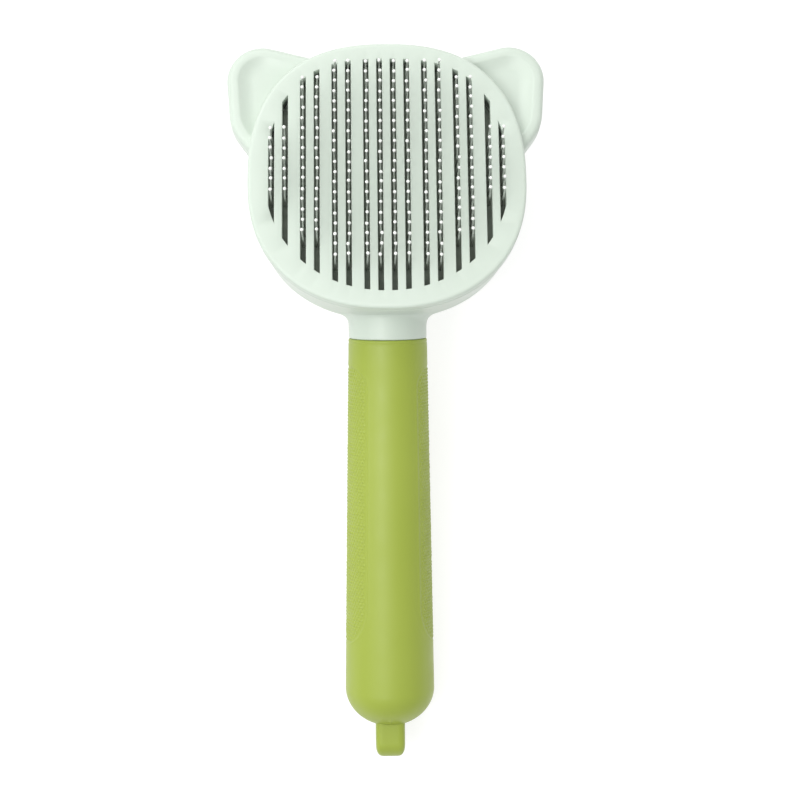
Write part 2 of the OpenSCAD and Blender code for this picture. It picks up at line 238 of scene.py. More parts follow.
class Build:
    """Collects points and faces of one mesh."""

    def __init__(self):
        self.verts = []
        self.faces = []

    def add(self, verts, faces):
        """Adds points, and faces that count from the first of them."""
        start = len(self.verts)
        self.verts.extend(map(tuple, verts))
        self.faces.extend(tuple(i + start for i in f) for f in faces)

    def loft(self, rings, cap_first=False, cap_last=False):
        """Skins closed rings of equal length, with a flat cap on its first or last ring."""
        count = len(rings[0])
        verts = np.vstack(rings)
        faces = []
        for a in range(len(rings) - 1):
            b = a + 1
            for i in range(count):
                j = (i + 1) % count
                faces.append((a * count + i, a * count + j, b * count + j, b * count + i))
        if cap_first:
            faces.append(tuple(range(count - 1, -1, -1)))
        if cap_last:
            faces.append(tuple((len(rings) - 1) * count + i for i in range(count)))
        self.add(verts, faces)

    def turned(self, profile, count, centre=(0.0, 0.0)):
        """A closed solid of revolution about z. profile is (radius, z) from axis to axis."""
        least = 1e-4
        rings = [level(circle_outline(max(r, least), count, centre), z) for r, z in profile]
        self.loft(rings, cap_first=True, cap_last=True)

    def flat(self, outer, holes, z):
        """A flat face at height z between an outline and its holes."""
        points, edges = [], []
        for loop in [outer, *holes]:
            start = len(points)
            points.extend(Vector(p) for p in loop)
            n = len(loop)
            edges.extend((start + i, start + (i + 1) % n) for i in range(n))
        co, _, tris, *_ = delaunay_2d_cdt(points, edges, [], 1, 1e-9)
        centres = np.array([[(co[t[0]] + co[t[1]] + co[t[2]])[k] / 3 for k in (0, 1)] for t in tris])
        keep = inside(centres, outer)
        for hole in holes:
            keep &= ~inside(centres, hole)
        self.add([(p.x, p.y, z) for p in co], [t for t, ok in zip(tris, keep) if ok])


def level(outline, z):
    """An outline's points at height z."""
    return np.c_[outline, np.full(len(outline), z)]


def inside(points, outline):
    """Which points lie inside a closed outline."""
    x, y = points[:, 0], points[:, 1]
    result = np.zeros(len(points), bool)
    ends = np.roll(outline, -1, axis=0)
    for (x1, y1), (x2, y2) in zip(outline, ends):
        if y1 == y2:
            continue
        crosses = (y1 > y) != (y2 > y)
        result ^= crosses & (x < (x2 - x1) * (y - y1) / (y2 - y1) + x1)
    return result


def rounded(corner, start, end, steps=5):
    """Points that round a corner from start to end, as a quadratic curve."""
    t = np.linspace(0, 1, steps + 1)[:, None]
    a, b, c = np.array(start), np.array(corner), np.array(end)
    return ((1 - t) ** 2 * a + 2 * t * (1 - t) * b + t ** 2 * c).tolist()


# ---------------------------------------------------------------- distance fields
def outline_distance(x, y, outline):
    """Distance to a closed outline, negative inside, at the points x, y."""
    best = np.full(x.shape, 1e9)
    odd = np.zeros(x.shape, bool)
    ends = np.roll(outline, -1, axis=0)
    for (x1, y1), (x2, y2) in zip(outline, ends):
        dx, dy = x2 - x1, y2 - y1
        t = np.clip(((x - x1) * dx + (y - y1) * dy) / max(dx * dx + dy * dy, 1e-12), 0, 1)
        best = np.minimum(best, (x - x1 - t * dx) ** 2 + (y - y1 - t * dy) ** 2)
        if dy:
            crosses = (y1 > y) != (y2 > y)
            odd ^= crosses & (x < dx * (y - y1) / dy + x1)
    return np.where(odd, -1, 1) * np.sqrt(best)


def swept_field(distance, zs, profile, reach=60.0):
    """Field of a solid whose section is profile in (distance, z), swept around an outline.

    reach is how far inside the outline the field is worked out.
    """
    table_d = np.linspace(-reach, reach / 2, 900)
    dd, zz = np.meshgrid(table_d, zs, indexing="ij")
    table = outline_distance(dd, zz, np.array(profile))
    field = np.empty((*distance.shape, len(zs)), np.float32)
    for k in range(len(zs)):
        field[:, :, k] = np.interp(distance, table_d, table[:, k])
    return field


def soft_union(a, b, blend):
    """Union of two fields with a fillet about blend wide."""
    h = np.clip(blend - np.abs(a - b), 0, None) / blend
    return np.minimum(a, b) - h * h * blend / 4


def soft_cut(a, b, blend):
    """Field a without field b, with a rounded edge about blend wide."""
    return -soft_union(-a, b, blend)


def grid_axes(low, high, voxel):
    """The places of a grid's points along x, y and z, between two corners."""
    return [np.arange(lo, hi + voxel, voxel) for lo, hi in zip(low, high)]


def field_mesh(name, field, axes, voxel, matrix, smooth):
    """The surface of a distance field as an object, with smooth rounds of smoothing."""
    far = 3.0
    grid = openvdb.FloatGrid(far)
    grid.copyFromArray(np.clip(field, -far, far).astype(np.float32))
    points, triangles, quads = grid.convertToPolygons(0.0, 0.0)
    points = points * voxel + np.array([a[0] for a in axes])
    faces = [tuple(f) for f in quads.tolist()] + [tuple(f) for f in triangles.tolist()]
    obj = place_mesh(name, points, faces, matrix, 180)
    modifier = obj.modifiers.new("smooth", "SMOOTH")
    modifier.factor = 0.5
    modifier.iterations = smooth
    return obj


def finish_piece(obj, body, slot, material, *nodes):
    """Gives a piece its body and material, and hides the CAD nodes that it stands for. slot is not used."""
    obj.data.materials.clear()
    obj.data.materials.append(material)
    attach(obj, body)
    if nodes:
        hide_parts(*nodes)


# ---------------------------------------------------------------- materials
# Scales of the noises, per metre
DRIFT_SCALE, GLOSS_SCALE, GRAIN_SCALE = 28.0, 160.0, 2600.0
STAIN_SCALE, STREAK_SCALE = 300.0, 1500.0
DUST_SCALE, PIT_SCALE = 420.0, 2200.0
# How pointed an edge is where its wear starts and where it is full
WEAR_START, WEAR_FULL = 0.58, 0.72


def new_material(name, base, roughness, metallic=0.0):
    """A Principled material. Returns it with its node tree and shader."""
    material = bpy.data.materials.new(name)
    material.use_nodes = True
    nodes = material.node_tree.nodes
    shader = nodes["Principled BSDF"]
    shader.inputs["Base Color"].default_value = (*base, 1)
    shader.inputs["Roughness"].default_value = roughness
    shader.inputs["Metallic"].default_value = metallic
    return material, material.node_tree, shader


def noise(tree, scale, detail, stretch=(1, 1, 1)):
    """A noise texture in object space, in metres. Returns its value socket."""
    coords = tree.nodes.new("ShaderNodeTexCoord")
    mapping = tree.nodes.new("ShaderNodeMapping")
    mapping.inputs["Scale"].default_value = stretch
    texture = tree.nodes.new("ShaderNodeTexNoise")
    texture.inputs["Scale"].default_value = scale
    texture.inputs["Detail"].default_value = detail
    tree.links.new(coords.outputs["Object"], mapping.inputs["Vector"])
    tree.links.new(mapping.outputs["Vector"], texture.inputs["Vector"])
    return texture.outputs["Fac"]


def ranged(tree, value, low, high):
    """Maps a value of about 0.3 to 0.7 to low to high."""
    node = tree.nodes.new("ShaderNodeMapRange")
    node.inputs["From Min"].default_value = 0.3
    node.inputs["From Max"].default_value = 0.7
    node.inputs["To Min"].default_value = low
    node.inputs["To Max"].default_value = high
    tree.links.new(value, node.inputs["Value"])
    return node.outputs["Result"]


def mixed(tree, factor, colour_a, colour_b):
    """A mix of two colours, or of a colour and a socket, by a factor socket."""
    node = tree.nodes.new("ShaderNodeMix")
    node.data_type = "RGBA"
    tree.links.new(factor, node.inputs["Factor"])
    for name, colour in (("A", colour_a), ("B", colour_b)):
        socket = next(s for s in node.inputs if s.name == name and s.type == "RGBA")
        if isinstance(colour, tuple):
            socket.default_value = (*colour, 1)
        else:
            tree.links.new(colour, socket)
    return next(s for s in node.outputs if s.type == "RGBA")


def bump(tree, shader, height, strength, distance):
    """Gives a shader fine relief from a height socket."""
    node = tree.nodes.new("ShaderNodeBump")
    node.inputs["Strength"].default_value = strength
    node.inputs["Distance"].default_value = distance
    tree.links.new(height, node.inputs["Height"])
    tree.links.new(node.outputs["Normal"], shader.inputs["Normal"])


def moulded_plastic(name, colour, shade, roughness, grain=GRAIN_SCALE, grain_depth=0.00001, wear=0.35):
    """Moulded plastic: slow colour drift, uneven gloss, a fine grain and paler worn edges.

    grain_depth is in metres. wear is how much paler an edge gets, from 0 to 1.
    """
    material, tree, shader = new_material(name, colour, roughness)
    drift = ranged(tree, noise(tree, DRIFT_SCALE, 2.0), 0.0, 1.0)
    body = mixed(tree, drift, colour, shade)
    geometry = tree.nodes.new("ShaderNodeNewGeometry")
    edge = tree.nodes.new("ShaderNodeMapRange")
    edge.inputs["From Min"].default_value = WEAR_START
    edge.inputs["From Max"].default_value = WEAR_FULL
    edge.inputs["To Max"].default_value = wear
    tree.links.new(geometry.outputs["Pointiness"], edge.inputs["Value"])
    pale = tuple(min(1.0, c * 1.12 + 0.02) for c in colour)
    worn = mixed(tree, edge.outputs["Result"], body, pale)
    tree.links.new(worn, shader.inputs["Base Color"])
    gloss = ranged(tree, noise(tree, GLOSS_SCALE, 4.0), roughness - 0.05, roughness + 0.06)
    tree.links.new(gloss, shader.inputs["Roughness"])
    bump(tree, shader, noise(tree, grain, 2.0), 0.25, grain_depth)
    return material


def drawn_steel(name, colour, roughness):
    """Drawn or plated steel with fine streaks and a little tarnish."""
    material, tree, shader = new_material(name, colour, roughness, 1.0)
    dull = tuple(c * 0.72 for c in colour)
    stain = ranged(tree, noise(tree, STAIN_SCALE, 4.0), 0.0, 1.0)
    tree.links.new(mixed(tree, stain, colour, dull), shader.inputs["Base Color"])
    streaks = noise(tree, STREAK_SCALE, 3.0, (6, 6, 0.5))
    tree.links.new(ranged(tree, streaks, roughness - 0.06, roughness + 0.1), shader.inputs["Roughness"])
    bump(tree, shader, streaks, 0.2, 0.000008)
    return material


def pad_rubber():
    """Dark rubber with a dusty, finely pitted face."""
    material, tree, shader = new_material("pad_rubber", (0.157, 0.181, 0.147), 0.75)
    dust = ranged(tree, noise(tree, DUST_SCALE, 5.0), 0.0, 1.0)
    colour = mixed(tree, dust, (0.146, 0.171, 0.137), (0.205, 0.235, 0.192))
    tree.links.new(colour, shader.inputs["Base Color"])
    bump(tree, shader, noise(tree, PIT_SCALE, 4.0), 0.6, 0.00005)
    return material


MINT = (0.580, 0.655, 0.578)
MINT_SHADE = (0.558, 0.634, 0.556)
LIME = (0.312, 0.388, 0.050)
LIME_SHADE = (0.297, 0.372, 0.044)

SHELL_MAT = moulded_plastic("mint_shell", MINT, MINT_SHADE, 0.34, wear=0.0)
PLATE_MAT = moulded_plastic("mint_plate", MINT, MINT_SHADE, 0.36)
GRIP_MAT = moulded_plastic("lime_grip", LIME, LIME_SHADE, 0.42, 3200.0, 0.00002)
BUTTON_MAT = moulded_plastic("lime_button", LIME, LIME_SHADE, 0.36)
INNER_MAT = moulded_plastic("inner_plastic", (0.70, 0.74, 0.68), (0.62, 0.66, 0.60), 0.5)
BEAD_MAT = moulded_plastic("bead_plastic", (0.88, 0.90, 0.87), (0.84, 0.86, 0.82), 0.18)
WIRE_MAT = drawn_steel("pin_wire", (0.60, 0.61, 0.59), 0.30)
SCREW_MAT = drawn_steel("screw_steel", (0.56, 0.56, 0.57), 0.34)
SPRING_MAT = drawn_steel("spring_wire", (0.52, 0.53, 0.54), 0.34)
PAD_MAT = pad_rubber()


# ---------------------------------------------------------------- the head's shell
def shell_turn(t):
    """How far the shell's outline has turned in at fraction t of the way to its back."""
    return DRAFT + (TURN_IN - DRAFT) * (1 - math.sqrt(max(0.0, 1 - t * t)))


def head_profile():
    """Section of the head as (distance from its outline, z): rim, side wall and turned-in back."""
    deep = -60
    rim = rounded((0, RIM_Z), (-RIM_EDGE, RIM_Z), (0, RIM_Z - RIM_EDGE))
    depth = WALL_END + HEAD_DEPTH
    back = [(-shell_turn(t), WALL_END - t * depth) for t in np.linspace(0, 0.985, 24)]
    return rim + back + [(deep, -HEAD_DEPTH), (deep, RIM_Z)]


def ear_profile():
    """Section of an ear as (distance from its outline, z): a round rim around a dish."""
    face, back = -EAR_DROP, -EAR_DROP - EAR_THICK
    deep, under_edge = -40, 2
    edge = rounded((0, face), (-EAR_EDGE, face), (0, face - EAR_EDGE), 10)
    under = rounded((0, back), (0, back + under_edge), (-under_edge, back), 6)
    dish = [(-EAR_RIM - EAR_SLOPE * u, face - EAR_DISH * math.sin(math.pi / 2 * u))
            for u in np.linspace(1, 0, 16)]
    return edge + under + [(deep, back), (deep, face - EAR_DISH)] + dish


def neck_field(xs, ys, zs):
    """Fields of the neck, which runs on as a chin under the head's back, and of its tang."""
    x, y, z = np.meshgrid(xs, ys, zs, indexing="ij", sparse=True)
    origin = GRIP_IN_HEAD.translation / MM
    along = GRIP_IN_HEAD.col[2].to_3d()
    up = GRIP_IN_HEAD.col[1].to_3d()
    s = (y - origin.y) * along.y + (z - origin.z) * along.z
    u = (y - origin.y) * up.y + (z - origin.z) * up.z
    radius = np.sqrt(x * x + u * u)
    neck_end, neck_edge = COLLAR_GAP - 0.03, 0.35
    neck = np.maximum(radius - NECK_R, -8.0)
    neck = soft_cut(neck, neck_end - s, neck_edge)
    neck = soft_cut(neck, CHIN_END - y, CHIN_BLEND)
    tang = np.maximum(radius - TANG_R, np.abs(s - TANG_MIDDLE) - TANG_HALF)
    return neck.astype(np.float32), tang.astype(np.float32)


def cavity_field(head_gap, zs):
    """Field of the space inside the shell, open at the plate."""
    deep, above = -80, 5.0
    inner_depth = WALL_END - COVER_Z
    profile = [(-SIDE_WALL, above), (-SIDE_WALL, WALL_END)]
    profile += [(-WALL - shell_turn(t), WALL_END - t * inner_depth) for t in np.linspace(0, 0.9, 16)]
    profile += [(deep, COVER_Z), (deep, above)]
    return swept_field(head_gap, zs, profile, 100.0)


def opening_field(head_gap, zs):
    """Field of the opening in the shell's back that the cover closes."""
    deep, below, above = -80, -50, COVER_Z + 1
    profile = [(-COVER_INSET, above), (-COVER_INSET, below), (deep, below), (deep, above)]
    return swept_field(head_gap, zs, profile, 100.0)


def build_shell():
    """The shell as one skin: head, ears, neck and tang, with its cavity and the cover's opening."""
    voxel = SHELL_VOXEL
    xs, ys, zs = grid_axes(SHELL_LOW, SHELL_HIGH, voxel)
    x, y = np.meshgrid(xs, ys, indexing="ij")
    head_gap = outline_distance(x, y, head_outline(0))
    solid_head = swept_field(head_gap, zs, head_profile())
    neck, tang = neck_field(xs, ys, zs)
    left, right = (swept_field(outline_distance(x, y, ear_outline(side)), zs, ear_profile())
                   for side in (-1, 1))
    ears = np.minimum(left, right)
    sideways = np.clip((np.abs(xs) - 5) / 5, 0, 1)[:, None, None]
    body = soft_union(solid_head, neck, NECK_BLEND + NECK_SIDE_BLEND * sideways)
    body = soft_union(body, ears, EAR_BLEND)
    body = np.maximum(body, -cavity_field(head_gap, zs))
    body = np.maximum(body, -opening_field(head_gap, zs))
    body = np.minimum(body, tang)
    shell = field_mesh("shell_skin", body, (xs, ys, zs), voxel, HEAD, 4)
    finish_piece(shell, "housing", "shell_plastic", SHELL_MAT, "head_shell")


# ---------------------------------------------------------------- the slotted plate
def slot_loop(side, index, grow):
    """Outline of slot index on a side, grown all round, with its ends along the slots' field."""
    x = side * slot_x(index)
    half = SLOT_WIDTH / 2 + grow
    across = np.linspace(-half, half, 3)
    near = [(x + a, FIELD_Y - field_reach(x + a, FIELD_NEAR_POWER) - grow) for a in across]
    far_y = FIELD_Y + SLOT_REACH_ON[index] + grow
    far = [(x + a, far_y + field_reach(x + a, FIELD_FAR_POWER)) for a in across[::-1]]
    return np.array(near + far)


def build_plate():
    """The plate with its slots, the skirt that guides it in the shell, and its four posts."""
    build = Build()
    count = 480
    edge = rounded((0.0, 0.0), (PLATE_EDGE_IN, 0.0), (0.0, -PLATE_EDGE_DOWN), 9)
    under = [(0.0, -PLATE_THICK + 0.15), (0.2, -PLATE_THICK), (SKIRT_OUT, -PLATE_THICK)]
    skirt = [(SKIRT_OUT, SKIRT_END), (SKIRT_IN, SKIRT_END), (SKIRT_IN, -PLATE_THICK)]
    rings = [level(head_outline(d, count), z) for d, z in edge + under + skirt]
    build.loft(rings)
    slots = [(side, index) for index in range(ROWS // 2) for side in (-1, 1)]
    steps = [(SLOT_EDGE, 0.0), (0.13, -0.03), (0.05, -0.10), (0.0, -0.24), (0.0, -PLATE_THICK)]
    for slot in slots:
        build.loft([level(slot_loop(*slot, grow), z) for grow, z in steps])
    build.flat(head_outline(edge[0][0], count), [slot_loop(*slot, SLOT_EDGE) for slot in slots], 0.0)
    build.flat(head_outline(skirt[-1][0], count), [slot_loop(*slot, 0.0) for slot in slots], -PLATE_THICK)
    post = [(0, -PLATE_THICK), (POST_R, -PLATE_THICK), (POST_R, PUSHER_FRONT), (0, PUSHER_FRONT)]
    for place in POSTS:
        build.turned(post, 32, place)
    plate = place_mesh("plate_skin", build.verts, build.faces, HEAD, 50)
    finish_piece(plate, "release", "plate_plastic", PLATE_MAT, "front_plate")


# ---------------------------------------------------------------- pins, beads and pad
def row_places(row):
    """Places of the pins of a row. Row 0 is at the left."""
    half = ROWS // 2
    index = row - half if row >= half else half - 1 - row
    x = slot_x(index) * (1 if row >= half else -1)
    first, last = PIN_ENDS[index]
    return [(x, PIN_Y0 + PIN_SHIFT[index] + k * PIN_PITCH) for k in range(first, last + 1)]


def build_row(row, random):
    """One slot's wires and beads. Each wire leans and curves a little, as bent wires do."""
    wires, beads = Build(), Build()
    sides, root = 10, CARRIER_BACK + 0.6
    for x, y in row_places(row):
        lean = random.normal(0, LEAN_SPREAD, 2) - (LEAN_IN * x, 0.0)
        rings = []
        for z in np.linspace(root, BEAD_RISE, 9):
            bent = max(0.0, (z - PAD_TOP) / (BEAD_RISE - PAD_TOP)) ** 2
            centre = (x + lean[0] * bent, y + lean[1] * bent)
            rings.append(level(circle_outline(WIRE_R, sides, centre), z))
        wires.loft(rings, cap_first=True, cap_last=True)
        size = BEAD_R * (1 + random.normal(0, BEAD_SPREAD))
        bead_profile = [(r * size, BEAD_RISE + h * size) for r, h in BEAD_SHAPE]
        beads.turned(bead_profile, 16, (x + lean[0], y + lean[1]))
    number = f"{row + 1:02d}"
    wire = place_mesh(f"wires_{number}", wires.verts, wires.faces, HEAD)
    bead = place_mesh(f"beads_{number}", beads.verts, beads.faces, HEAD, 80)
    finish_piece(wire, "housing", "pin_steel", WIRE_MAT, f"pin_row_{number}")
    finish_piece(bead, "housing", "bead_plastic", BEAD_MAT, f"bead_row_{number}")


def build_pad():
    """The rubber pad with a soft edge, holes for the posts and a low collar around each wire."""
    build = Build()
    count, hole_count = 240, 32
    back = PAD_BACK + 0.1
    profile = [(2.0, PAD_TOP), (0.6, PAD_TOP - 0.05), (0.15, PAD_TOP - 0.25), (0.0, PAD_TOP - 0.7),
               (0.0, back)]
    rings = [level(head_outline(PAD_INSET + d, count), z) for d, z in profile]
    build.loft(rings)
    holes = [circle_outline(POST_R + 0.3, hole_count, place) for place in POSTS]
    for hole in holes:
        build.loft([level(hole, z) for z in (PAD_TOP, back)])
    for ring in (rings[0], rings[-1]):
        build.flat(ring[:, :2], holes, ring[0, 2])
    collar = [(0.0, PAD_TOP + 0.3), (0.34, PAD_TOP + 0.28), (0.5, PAD_TOP + 0.12), (0.62, PAD_TOP - 0.1),
              (0.0, PAD_TOP - 0.2)]
    for row in range(ROWS):
        for place in row_places(row):
            build.turned(collar, 12, place)
    pad = place_mesh("pad_skin", build.verts, build.faces, HEAD, 60)
    finish_piece(pad, "housing", "pad_rubber", PAD_MAT, "cushion_pad")


# ---------------------------------------------------------------- back: cover, button, screws
def screw_mesh(name):
    """A pan head with a cross recess, its top face at z = 0 and looking towards -z."""
    axes = grid_axes((-2.2, -2.2, -0.6), (2.2, 2.2, 1.6), SCREW_VOXEL)
    x, y, z = np.meshgrid(*axes, indexing="ij")
    radius = np.sqrt(x * x + y * y)
    head = np.maximum(radius - SCREW_R, np.abs(z - SCREW_HALF) - SCREW_HALF)
    dome = np.sqrt(x * x + y * y + (z - SCREW_DOME) ** 2) - SCREW_DOME
    head = soft_cut(head, -dome, 0.3)
    slope = 0.35 * z
    arm_x = np.maximum(np.abs(y) - CROSS_HALF + slope * 0.3, np.abs(x) - CROSS_REACH + slope)
    arm_y = np.maximum(np.abs(x) - CROSS_HALF + slope * 0.3, np.abs(y) - CROSS_REACH + slope)
    cross = np.maximum(np.minimum(arm_x, arm_y), z - CROSS_DEPTH)
    head = soft_cut(head, cross, 0.12)
    return field_mesh(name, head, axes, SCREW_VOXEL, Matrix.Identity(4), 2)


def build_screws(name, places, node):
    """One piece from copies of the screw head. places are matrices in the shared frame."""
    source = screw_mesh(name + "_one")
    depsgraph = bpy.context.evaluated_depsgraph_get()
    smooth = bpy.data.meshes.new_from_object(source.evaluated_get(depsgraph))
    bpy.data.objects.remove(source)
    joined = bmesh.new()
    for place in places:
        start = len(joined.verts)
        joined.from_mesh(smooth)
        joined.verts.ensure_lookup_table()
        bmesh.ops.transform(joined, matrix=place, verts=joined.verts[start:])
    mesh = bpy.data.meshes.new(name)
    joined.to_mesh(mesh)
    joined.free()
    obj = bpy.data.objects.new(name, mesh)
    bpy.context.scene.collection.objects.link(obj)
    finish_piece(obj, "housing", "screw_steel", SCREW_MAT, node)


def build_cover():
    """The back cover with the raised ring around the button's opening."""
    build = Build()
    count, ring_count, pocket_count = 360, 144, 48
    hole_r, ring_r, proud = BUTTON_R + 0.4, BUTTON_R + 2.4, 0.8
    foot_r, mouth_r, pocket_r = ring_r + 0.3, 2.0, 1.88
    back, front = -HEAD_DEPTH, COVER_Z
    pockets = [circle_outline(mouth_r, pocket_count, place) for place in PILLARS]
    edge = [(0.35, back), (0.18, back + 0.06), (0.12, back + 0.3), (0.12, front)]
    build.loft([level(head_outline(COVER_INSET + d, count), z) for d, z in edge])
    top = back - proud
    ring = [(foot_r, back), (ring_r + 0.05, back - 0.12), (ring_r - 0.1, top + 0.2), (ring_r - 0.35, top),
            (hole_r + 0.35, top), (hole_r + 0.1, top + 0.12), (hole_r, top + 0.4), (hole_r, front)]
    build.loft([level(circle_outline(r, ring_count), z) for r, z in ring])
    pocket = [(mouth_r, back), (pocket_r, back + 0.12), (pocket_r, back + 1.3)]
    for place in PILLARS:
        build.loft([level(circle_outline(r, pocket_count, place), z) for r, z in pocket], cap_last=True)
    foot = circle_outline(foot_r, ring_count)
    build.flat(head_outline(COVER_INSET + edge[0][0], count), [foot, *pockets], back)
    hole = circle_outline(hole_r, ring_count)
    build.flat(head_outline(COVER_INSET + edge[-1][0], count), [hole], front)
    cover = place_mesh("cover_skin", build.verts, build.faces, HEAD, 45)
    finish_piece(cover, "housing", "shell_plastic", SHELL_MAT, "back_cover")


def build_button():
    """The push button: a cap with a round edge and a shallow thumb dish."""
    build = Build()
    face, back = BUTTON_FACE, -22.1
    dish_r, dish_depth = 12.0, 0.9
    flange_r, flange_face = BUTTON_R + 2, back - 1.6
    dish = [(r, face + dish_depth * (1 - (r / dish_r) ** 2) ** 2) for r in np.linspace(0, dish_r, 14)]
    edge = [(BUTTON_R + BUTTON_EDGE * (math.sin(a) - 1), face + BUTTON_EDGE * (1 - math.cos(a)))
            for a in np.linspace(0, math.pi / 2, 12)]
    flange = [(BUTTON_R, flange_face), (flange_r, flange_face), (flange_r, back), (0, back)]
    build.turned(dish + edge + flange, 160)
    button = place_mesh("button_skin", build.verts, build.faces, HEAD, 50)
    finish_piece(button, "release", "button_plastic", BUTTON_MAT, "button")


# ---------------------------------------------------------------- return springs
def build_spring(number, place):
    """A coil spring with ground end turns, around one of the plate's posts."""
    wire_r, coil_r, turns, steps = 0.3, 2.5, 6.0, 26
    gap, end_turn, kept_length = 0.35, 0.07, 0.215
    low, high = PUSHER_FRONT + gap, CARRIER_BACK - gap
    up = np.array([0, 0, 1.0])
    around = np.linspace(0, 2 * np.pi, 10, endpoint=False)[:, None]
    rings = []
    for i in range(int(turns * steps) + 1):
        t = i / steps
        climb = np.interp(t, [0, 1, turns - 1, turns], [0.0, end_turn, 1 - end_turn, 1.0])
        a = t * 2 * math.pi
        out = np.array([math.cos(a), math.sin(a), 0.0])
        centre = np.array([place[0], place[1], low + (high - low) * climb]) + coil_r * out
        rings.append(centre + wire_r * (np.cos(around) * out + np.sin(around) * up))
    build = Build()
    build.loft(rings, cap_first=True, cap_last=True)
    spring = place_mesh(f"spring_coil_{number}", build.verts, build.faces, HEAD)
    finish_piece(spring, "housing", "spring_steel", SPRING_MAT, f"return_spring_{number}")
    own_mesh(spring)


# ---------------------------------------------------------------- the grip
def grip_radius(s):
    """Radius of the plain grip at the distance s from its start."""
    return COLLAR_R + (END_R - COLLAR_R) * (s - COLLAR_GAP) / (GRIP_LEN - COLLAR_GAP)


def grip_relief(s, a, random):
    """Height over the plain grip: two side patches with a soft border and rows of fine dots."""
    a = (a + np.radians(PATCH_TURN)) % (2 * np.pi)
    side = np.minimum(np.minimum(a, 2 * np.pi - a), np.abs(a - np.pi))
    end = np.where(s < PATCH_MIDDLE, PATCH_NEAR_END, PATCH_FAR_END)
    ends = np.clip((np.abs(s - PATCH_MIDDLE) - PATCH_HALF + end) / end, 0, 1)
    border = np.radians(PATCH_ANGLE) * np.sqrt(1 - ends ** PATCH_POWER)
    inwards = np.minimum((border - side) * END_R, PATCH_HALF - np.abs(s - PATCH_MIDDLE))
    ramp = np.clip(inwards / PATCH_RAMP, 0, 1)
    ramp = ramp * ramp * (3 - 2 * ramp)
    ridge = np.exp(-((inwards + RIDGE_OUT) / RIDGE_WIDTH) ** 2)
    row = s / DOT_ROWS
    column = a * END_R / DOT_COLUMNS + 0.5 * (np.floor(row) % 2)
    size = random.uniform(0.55, 1.0, (DOT_TABLE, DOT_TABLE))
    size = size[np.floor(row).astype(int) % DOT_TABLE, np.floor(column).astype(int) % DOT_TABLE]
    dot = np.hypot((row % 1 - 0.5) * DOT_ROWS, (column % 1 - 0.5) * DOT_COLUMNS) / DOT_R
    dots = np.clip(1 - dot * dot, 0, 1) * size
    dots = dots * np.clip((inwards - DOT_START) / DOT_FADE, 0, 1)
    return DOT_HEIGHT * dots + RIDGE_HEIGHT * ridge - PATCH_SUNK * ramp


def build_grip():
    """The grip: collar with a groove, long body with its patches, and round end with a gate mark."""
    random = np.random.default_rng(11)
    around, step = ((440, 0.2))
    a = np.linspace(0, 2 * np.pi, around, endpoint=False)
    lip, bore, groove = COLLAR_GAP, TANG_R + 0.1, COLLAR_R - 0.08
    profile = [(bore, 6.0), (bore, lip + 0.25), (bore + 0.25, lip)]
    profile += [(COLLAR_R - 0.45, lip), (COLLAR_R - 0.22, lip + 0.07), (COLLAR_R - 0.06, lip + 0.25)]
    profile += [(COLLAR_R, lip + 0.5), (COLLAR_R, lip + 0.8), (groove, lip + 0.95), (groove, lip + 1.15),
                (COLLAR_R, lip + 1.35)]
    body = [(grip_radius(s), s) for s in np.arange(lip + 1.7, GRIP_LEN, step)]
    dome = [(END_R * math.cos(q), GRIP_LEN + DOME_DRAWN * math.sin(q))
            for q in np.linspace(0, math.pi / 2 - 0.02, 48)]
    r, s = (np.array(column)[:, None] for column in zip(*(profile + body + dome)))
    relief = np.where((s > lip + 2) & (s < GRIP_LEN - 2), grip_relief(s, a[None, :], random), 0.0)
    gate = np.hypot((s - GATE_S) / GATE_LONG, (a[None, :] - np.pi / 2) * r / GATE_WIDE)
    pocket = np.hypot(s - GRIP_SCREW_S, (a[None, :] - 1.5 * np.pi) * r)
    radius = r + relief + GATE_HEIGHT * np.exp(-gate ** 2)
    radius = radius - POCKET_DEPTH * np.clip((POCKET_R - pocket) / POCKET_EDGE, 0, 1)
    rings = [level(np.c_[ring * np.cos(a), ring * np.sin(a)], z) for ring, z in zip(radius, s[:, 0])]
    build = Build()
    build.loft(rings, cap_last=True)
    grip = place_mesh("grip_skin", build.verts, build.faces, GRIP, 60)
    finish_piece(grip, "housing", "grip_plastic", GRIP_MAT, "handle_grip")


def build_loop():
    """The strap-like loop, one moulding with the grip's round end."""
    axes = grid_axes((-5, -6.8, LOOP_Z - 9.5), (5, 6.8, LOOP_Z + 6.8), LOOP_VOXEL)
    x, y, z = np.meshgrid(*axes, indexing="ij")
    along = z - LOOP_Z
    stretch = np.maximum(along, 0) * LOOP_R / LOOP_END
    ring = np.maximum(np.hypot(y, stretch) - LOOP_R, -along - LOOP_TAIL)
    strap = soft_cut(ring, LOOP_W / 2 - np.abs(x), LOOP_EDGE)
    corner_x, corner_z = LOOP_CORNER
    in_x = np.maximum(np.abs(x) - LOOP_W / 2 + corner_x, 0) / corner_x
    in_z = np.maximum(along - LOOP_END + corner_z, 0) / corner_z
    strap = soft_cut(strap, (1 - np.hypot(in_x, in_z)) * corner_x, LOOP_SMALL_EDGE)
    loop = soft_cut(strap, np.hypot(y, along) - LOOP_HOLE_R, LOOP_SMALL_EDGE)
    piece = field_mesh("hanging_loop", loop, axes, LOOP_VOXEL, GRIP, 3)
    finish_piece(piece, "housing", "grip_plastic", GRIP_MAT)


# ---------------------------------------------------------------- stage, in metres and watts
FLOOR_HALF, FLOOR_DROP = 3.0, 0.0002
FLOOR_GREY, FLOOR_GLOW = (0.36, 0.36, 0.36), 0.74
ROOM_LIGHT = 0.59
